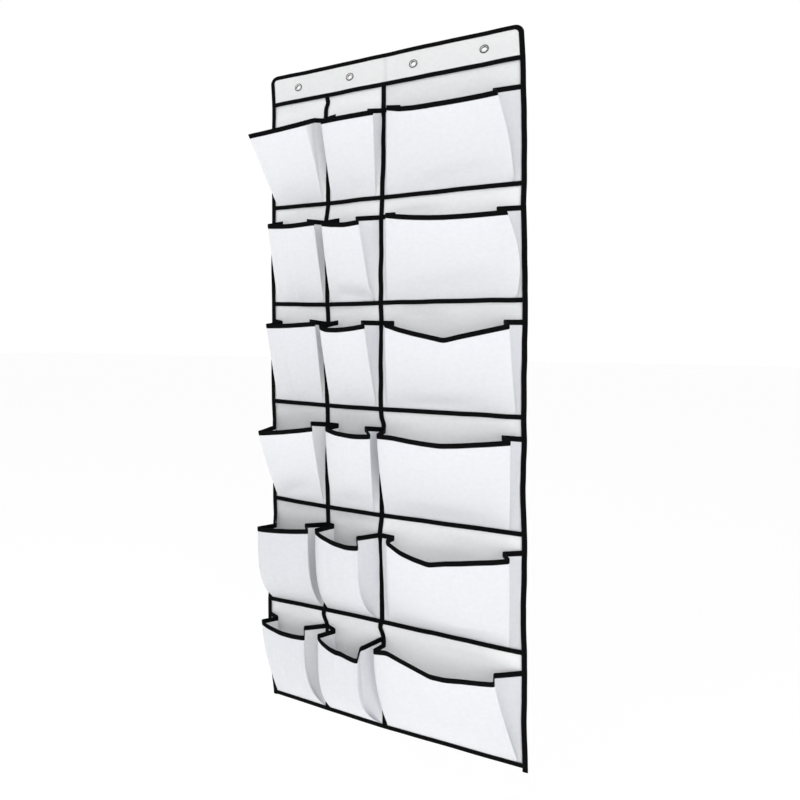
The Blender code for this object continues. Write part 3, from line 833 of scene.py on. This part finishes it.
def make_dividers():
    """Upright tapes between the columns, one length each, riding over the rims that end under them."""
    made = []
    for number in (1, 2):
        x = COLUMNS[number]
        zs = down_rows(SEAMS[0] - 1 * MM, BOTTOM + 3 * MM, 5 * MM, near_fold(-4, -2, 0, 2, 4))
        zs = np.array(zs)
        over_rims = sum(np.exp(-(((zs - z + 4 * MM) / (8 * MM)) ** 2)) for z in rim_heights(number))
        path = np.array([(x, DIVIDER_Y, z) for z in zs])
        path[:, 1] -= over_rims * 0.9 * MM
        path = stray(path)
        path[:, 0] += ripple(zs, 1.2 * MM, 38 * MM, 60 + number)
        piece = Piece()
        add_flat_tape(piece, path, forward(len(path)), seed=70 + number)
        tape = piece.make(f"divider_tape_{number}", [TAPE_BLACK, THREAD_BLACK])
        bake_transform(tape)
        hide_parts(f"divider_tape_{number}_upper", f"divider_tape_{number}_lower")
        made.append(tape)
    return made


def make_back_threads():
    """The stitch rows as they come through the back sheet."""
    inner_left, inner_right = LEFT + 11 * MM, RIGHT - 11 * MM
    y = BACK_Y + CLOTH / 2
    for half, seams in (("upper", SEAMS[:4]), ("lower", SEAMS[4:6])):
        piece = Piece()
        high, low = (TOP, FOLD_AXIS.z + 5 * MM) if half == "upper" else (FOLD_AXIS.z - 5 * MM, BOTTOM)
        lines = []
        for z in seams:
            for offset in (-STITCH_LINE, STITCH_LINE):
                xs = np.linspace(inner_left, inner_right, 90)
                lines.append(np.array([(x, y + cloth_waves(x, z + offset), z + offset) for x in xs]))
        for x in COLUMNS[1:3]:
            for offset in (-STITCH_LINE, STITCH_LINE):
                zs = np.arange(max(low, BOTTOM + 11 * MM), min(high, SEAMS[0] - 6 * MM), 8 * MM)
                lines.append(np.array([(x + offset, y + cloth_waves(x + offset, z), z) for z in zs]))
        for number, line in enumerate(lines):
            line = stray(line)
            out = -forward(len(line))
            side = unit(np.cross(out, unit(np.gradient(line, axis=0))))
            add_stitches(piece, line, side, out, 0.0, slot=0, seed=100 + number)
        threads = piece.make(f"back_threads_{half}", [THREAD_WHITE])
        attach(threads, f"{half}_panel")


# ---------------------------------------------------------------- the pockets


def rim_corner(node, side):
    """A CAD front's top corner, from its own vertices: side 0 is left, side 1 is right."""
    points = np.array([vert.co for vert in NODES[node].data.vertices])
    sign = 1 - 2 * side
    reach = points[:, 2] - sign * 0.3 * points[:, 0]
    tip = points[reach.argmax()]
    near = points[np.abs(points - tip)[:, (0, 2)].max(axis=1) < 1.5 * MM]
    return np.array([tip[0], near[:, 1].mean(), tip[2]])


def fold_share(span):
    """How much of a straight stretch of cloth, as a share, goes into the rounding of a fold."""
    length = np.linalg.norm(span)
    return min(FOLD_ROUND, 0.3 * length) / max(length, 1e-9)


class Pocket:
    """One pocket's cloth, from its left seam through both pleats to its right seam."""

    def __init__(self, row, column):
        self.row, self.column = row, column
        self.name = f"pocket_r{row}c{column}"
        joint = JOINTS[self.name + "_open"]
        self.panel, self.body = joint["parent"], joint["child"]
        self.hinge = np.array(joint["pos_m"])
        self.hang = HANG[row, column]
        self.seams = COLUMNS[column - 1], COLUMNS[column]
        self.corners = [rim_corner(self.name + "_front", side) for side in (0, 1)]
        ends = self.hang.rim[0], self.hang.rim[-1]
        for corner, drop in zip(self.corners, ends):
            corner += np.array([-1 * MM, 0, -drop * MM])
        self.dips = np.array(self.hang.rim) - np.linspace(*ends, len(self.hang.rim))
        self.foot_z = self.hinge[2] - 0.4 * MM

    def keys(self, side):
        """(foot, rim) of the seam edge, the inner fold and the front's corner."""
        sign = 1 - 2 * side
        seam = self.seams[side]
        fold_in, fold_below = self.hang.fold[2 * side : 2 * side + 2]
        foot_in = self.hang.foot[side] * MM
        above = SEAMS[self.row - 1]
        corner = self.corners[side]
        rim_z = above - RIM_AT_SEAM[self.row - 1][self.column - 1 + side] * MM + HALF_TAPE
        feet = np.array(
            [
                (seam + sign * SEAM_MARGIN, HEM_Y + 0.3 * MM, self.foot_z),
                (seam + sign * max(fold_in * 0.8 * MM, foot_in + 8 * MM), HEM_Y - 0.2 * MM, self.foot_z),
                (seam + sign * foot_in, HEM_Y - 0.9 * MM, self.foot_z),
            ]
        )
        rims = np.array(
            [
                (seam + sign * SEAM_MARGIN, HEM_Y + 0.3 * MM, rim_z),
                (seam + sign * fold_in * MM, corner[1] * FOLD_DEPTH, above - fold_below * MM + HALF_TAPE),
                corner,
            ]
        )
        rims[0] = stray(rims[0])
        return stray(feet), rims

    def swell(self, height, side):
        """How far out the cloth stands at a share of the height, as a share of the rim's distance."""
        belly = self.hang.belly[side]
        if isinstance(belly, tuple):
            knee, out = belly
            after = out + KNEE_ROUND * (1 - out)
            return np.interp(height, (0, knee, knee + KNEE_ROUND, 1), (0, out * 0.95, after, 1))
        return 1 - (1 - height) ** belly

    def side_points(self, side, height):
        """The seam edge, the inner fold and the corner at a share of the height."""
        feet, rims = self.keys(side)
        share = self.swell(height, side)
        points = feet + (rims - feet) * share
        points[:, 2] = feet[:, 2] + (rims[:, 2] - feet[:, 2]) * height
        sign = 1 - 2 * side
        points[0] = stray([self.seams[side] + sign * SEAM_MARGIN, feet[0][1], points[0][2]])
        points[2][0] -= sign * self.hang.bow[side] * MM * math.sin(math.pi * height)
        return points

    def front_offset(self, u, height):
        """How far a point of the front stands forward and hangs below the straight cloth."""
        hang = np.interp(u, np.linspace(0, 1, len(self.dips)), self.dips) * MM
        arch = (4 * u * (1 - u)) ** 0.8
        wide = WIDE_CROWN if self.column == 3 and self.row > 4 else 1.0
        crown = CROWN[self.row] * wide * MM * arch * math.sin(math.pi * min(0.5, height * 1.4))
        return crown, hang * height

    def creases(self, u, height, width, tall):
        """How far the creases press a point of the front inwards."""
        total = 0.0
        for (u0, h0), (u1, h1), depth, half in CREASES[self.row, self.column]:
            a = np.array([u0 * width, h0 * tall])
            b = np.array([u1 * width, h1 * tall])
            p = np.array([u * width, height * tall])
            t = np.clip((p - a) @ (b - a) / ((b - a) @ (b - a)), 0, 1)
            gap = np.linalg.norm(p - a - t * (b - a)) / (half * MM)
            fade = math.sin(math.pi * min(1, max(0, 0.1 + 0.8 * t)))
            total += depth * MM * math.exp(-(gap**2)) * fade
        return total

    def row_points(self, height):
        """One line of cloth across the pocket, and each point's place on the front, or -1 on a pleat."""
        left, right = self.side_points(0, height), self.side_points(1, height)[::-1]
        steps = WIDE_STEPS if self.column == 3 else NARROW_STEPS
        line, places = [], []
        pins = [*left, *right]
        for n in range(5):
            a, b = pins[n], pins[n + 1]
            front = n == 2
            count = steps if front else PLEAT_STEPS
            cut = fold_share(b - a)
            first = cut if n else 0
            last = 1 - cut if n < 4 else 1
            for t in np.linspace(first, last, count + 1):
                line.append(a + (b - a) * t)
                places.append(t if front else -1)
            if n < 4:
                onward = pins[n + 2] - b
                start, end = line[-1], b + onward * fold_share(onward)
                for k in range(1, ROUND_STEPS):
                    t = k / ROUND_STEPS
                    line.append(start * (1 - t) ** 2 + b * 2 * t * (1 - t) + end * t**2)
                    places.append({1: 0, 2: 1}.get(n, -1))
        return np.array(line), np.array(places)

    def cloth_grid(self):
        """The cloth's points from the hem, under the seam tape, up to the rim."""
        rows = []
        width = abs(self.seams[1] - self.seams[0]) - 16 * MM
        tall = self.corners[0][2] - self.foot_z
        for height in HEIGHTS:
            line, places = self.row_points(height)
            for n, u in enumerate(places):
                if u < 0:
                    x, _, z = line[n]
                    crumple = noise.noise(Vector((x * 40, z * 22 + self.row, self.column * 3.0)))
                    line[n][0] += crumple * CRUMPLE * math.sin(math.pi * min(1, height * 0.9 + 0.05))
                    continue
                crown, hang = self.front_offset(u, height)
                inside = math.sin(math.pi * u) ** 0.5 if 0 < u < 1 else 0
                soft = math.sin(math.pi * min(0.96, 0.04 + height * 0.92)) ** 0.5
                x, z = u * width, height * tall
                slow = noise.noise(Vector((x * 16, z * 12, self.row * 5.3 + self.column)))
                fine = noise.noise(Vector((x * 60, z * 26, self.row * 2.9 - self.column)))
                wrinkle = (slow + 0.35 * fine) * WRINKLE * inside * soft
                dent = self.creases(u, height, width, tall) * (0.25 + 0.75 * inside)
                line[n][1] += -crown + wrinkle + dent
                line[n][2] -= hang
            rows.append(line)
        grid = np.array(rows)
        rim = grid[-1].copy()
        rim[:, 2] = soften(rim[:, 2], 3)
        hem = grid[0].copy()
        hem[:, 2] -= HEM
        lower = hem.copy()
        lower[:, 2] -= 4 * MM if self.row < 6 else 3 * MM
        return np.concatenate([[lower, hem], grid[:-1], [rim]])

    def turning(self, points):
        """A weight for each point, the share of the front's turn it would take: all of it on the front, less
        through a pleat.
        """
        forward_of = -(points[:, 1] - self.hinge[1])
        above = points[:, 2] - self.hinge[2]
        angle = np.arctan2(forward_of, np.maximum(above, 1e-6))
        left, right = self.corners
        share = np.clip((points[:, 0] - left[0]) / (right[0] - left[0]), 0, 1)
        front_y = left[1] + (right[1] - left[1]) * share
        front_z = left[2] + (right[2] - left[2]) * share
        rest = np.arctan2(-(front_y - self.hinge[1]), front_z - self.hinge[2])
        height = np.clip(above / (front_z - self.hinge[2]), 0, 1)
        swell = [self.swell(height, side) for side in (0, 1)]
        swell = (swell[0] + (swell[1] - swell[0]) * share) / np.maximum(height, 0.02)
        full = np.tan(rest) * np.maximum(swell, 0.5)
        weight = np.clip(np.tan(np.clip(angle, -1.4, 1.4)) / full, 0, 1)
        weight = np.where(weight > FULL_TURN, 1.0, weight / FULL_TURN)
        settle = np.clip((above + 3 * MM) / (9 * MM), 0, 1)
        return weight * settle * settle * (3 - 2 * settle)

    def blend(self, obj):
        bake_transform(obj)

    def make(self):
        grid = self.cloth_grid()
        along = np.linalg.norm(np.diff(grid[-1], axis=0), axis=1)
        across = np.concatenate([[0], np.cumsum(along)])
        up = np.linalg.norm(np.diff(grid, axis=0), axis=2).mean(axis=1)
        tall = np.concatenate([[0], np.cumsum(up)])
        places = np.stack(np.meshgrid(across, tall), axis=2)
        piece = Piece()
        add_shell(piece, grid[::-1], places[::-1])
        cloth = piece.make(self.name + "_cloth", [CLOTH_WHITE], crease=80)
        on_front = self.row_points(0.5)[1] >= 0
        # painted light and shade on the pleats, painted shade on the darker fronts
        pocket_painted_light_and_shade = np.repeat(PLEAT_PAINTED_LIGHT_AND_SHADE[self.column], (len(on_front) // 2, (len(on_front) + 1) // 2))
        pocket_painted_light_and_shade = np.where(on_front, FRONT_PAINTED_SHADE.get((self.row, self.column), 0), pocket_painted_light_and_shade)
        set_tone(cloth, np.tile(pocket_painted_light_and_shade, 2 * len(grid)))
        turning = self.turning(grid.reshape(-1, 3)).reshape(grid.shape[:2])
        self.blend(cloth)
        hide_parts(self.name + "_front", f"row{self.row}_pleated_strip")
        rim = self.make_rim(grid, turning)

    def make_rim(self, grid, turning):
        """The tape folded over the cloth's upper edge, with a row of stitches on each side."""
        path = grid[-1]
        below = grid[-1] - grid[-3]
        side = -unit(below)
        normal = normals_of(grid[::-1])[0]
        out = unit(normal - side * (normal * side).sum(axis=1, keepdims=True))
        inner, t = 0.35, TAPE / MM
        outer = inner + t
        front = [(10, inner), (9.9, inner + t * 0.7), (9.2, outer), (8.5, inner + t * 0.8)]
        front += [(7.2, outer + 0.15), (4, outer + 0.25), (1.2, outer + 0.1), (0, outer), (-0.6, 0.6)]
        back = [(along, -forwards) for along, forwards in front[::-1]]
        hollow = [(5, -inner), (0.3, -inner), (0.3, inner), (5, inner)]
        piece = Piece()
        add_sweep(piece, path, side, out, np.array([*front, (-0.85, 0), *back, *hollow]) * MM)
        seed = self.row * 10 + self.column
        line = path + side * (TAPE_WIDTH - STITCH_FROM_EDGE)
        seat = (inner + t * 0.78) * MM
        add_stitches(piece, line, side, out, seat, seed=seed)
        add_stitches(piece, line, side, -out, seat, seed=seed + 500)
        rim = piece.make(self.name + "_rim_tape", [TAPE_BLACK, THREAD_BLACK])
        bound, turn = grid[-5:].reshape(-1, 3), turning[-5:].ravel()
        closest = [((bound - vert.co) ** 2).sum(axis=1).argmin() for vert in rim.data.vertices]
        self.blend(rim)
        return rim


# ---------------------------------------------------------------- fittings, stage and camera


def finish_cad_nodes():
    for name, node in NODES.items():
        if node.hide_render:
            continue
        metal = name.startswith("eyelet")
        for slot in node.material_slots:
            slot.material = NICKEL[int(name[-1]) - 1] if metal else BOARD
        if metal:
            bevel = node.modifiers.new("soft edges", "BEVEL")
            bevel.width, bevel.segments = 0.15 * MM, 2
            bevel.limit_method = "ANGLE"


def studio_white(glow):
    paint = Shader("studio_white", 0.9)
    paint.set("Base Color", (0.95, 0.95, 0.95, 1))
    paint.set("Emission Color", (0.95, 0.95, 0.95, 1))
    paint.set("Emission Strength", glow)
    return paint.material


def make_stage():
    mesh = bpy.data.meshes.new("studio_floor")
    work = bmesh.new()
    bmesh.ops.create_grid(work, x_segments=2, y_segments=2, size=30)
    work.to_mesh(mesh)
    work.free()
    floor = bpy.data.objects.new("studio_floor", mesh)
    bpy.context.scene.collection.objects.link(floor)
    floor.location = (0, 0, BOTTOM - 0.35)
    mesh.materials.append(studio_white(glow=0.12))
    world = bpy.data.worlds.new("studio")
    bpy.context.scene.world = world
    world.use_nodes = True
    nodes, links = world.node_tree.nodes, world.node_tree.links
    background = nodes["Background"]
    background.inputs["Color"].default_value = (1, 1, 1, 1)
    place, split = nodes.new("ShaderNodeTexCoord"), nodes.new("ShaderNodeSeparateXYZ")
    fade = nodes.new("ShaderNodeMapRange")
    for socket, value in (("From Min", -0.3), ("From Max", 0.4), ("To Min", WORLD_FRONT), ("To Max", 1.0)):
        fade.inputs[socket].default_value = value
    links.new(place.outputs["Generated"], split.inputs[0])
    links.new(split.outputs["Y"], fade.inputs["Value"])
    links.new(fade.outputs[0], background.inputs["Strength"])


def add_light(name, place, target, size, power):
    data = bpy.data.lights.new(name, "AREA")
    data.shape, data.size, data.energy = "DISK", size, power
    lamp = bpy.data.objects.new(name, data)
    bpy.context.scene.collection.objects.link(lamp)
    lamp.location = place
    lamp.rotation_euler = (Vector(target) - Vector(place)).to_track_quat("-Z", "Y").to_euler()


def make_camera():
    data = bpy.data.cameras.new("camera")
    camera = bpy.data.objects.new("camera", data)
    bpy.context.scene.collection.objects.link(camera)
    camera.location = (0.292, -1.383, -0.590)
    camera.rotation_euler = (math.radians(90), 0, math.radians(29))
    data.lens, data.sensor_width = 27.3, 36
    data.shift_x, data.shift_y = 0.25, -0.0813
    data.clip_start, data.clip_end = 0.05, 100
    bpy.context.scene.camera = camera


back_sheet = make_back_sheet()
facing = make_header_facing()
bindings = [make_edge_binding(), make_bottom_binding()]
tapes = make_seam_tapes() + make_dividers()
make_back_threads()
for row in range(1, 7):
    for column in range(1, 4):
        Pocket(row, column).make()
finish_cad_nodes()

make_stage()
add_light("key", (-0.9, -2.6, 1.6), (0, 0, -0.7), 1.8, 8)
add_light("fill", (1.3, -2.2, -0.5), (0, 0, -0.7), 1.6, 7)
make_camera()
bpy.context.scene.view_settings.view_transform = "Standard"
bpy.context.scene.view_settings.look = "None"
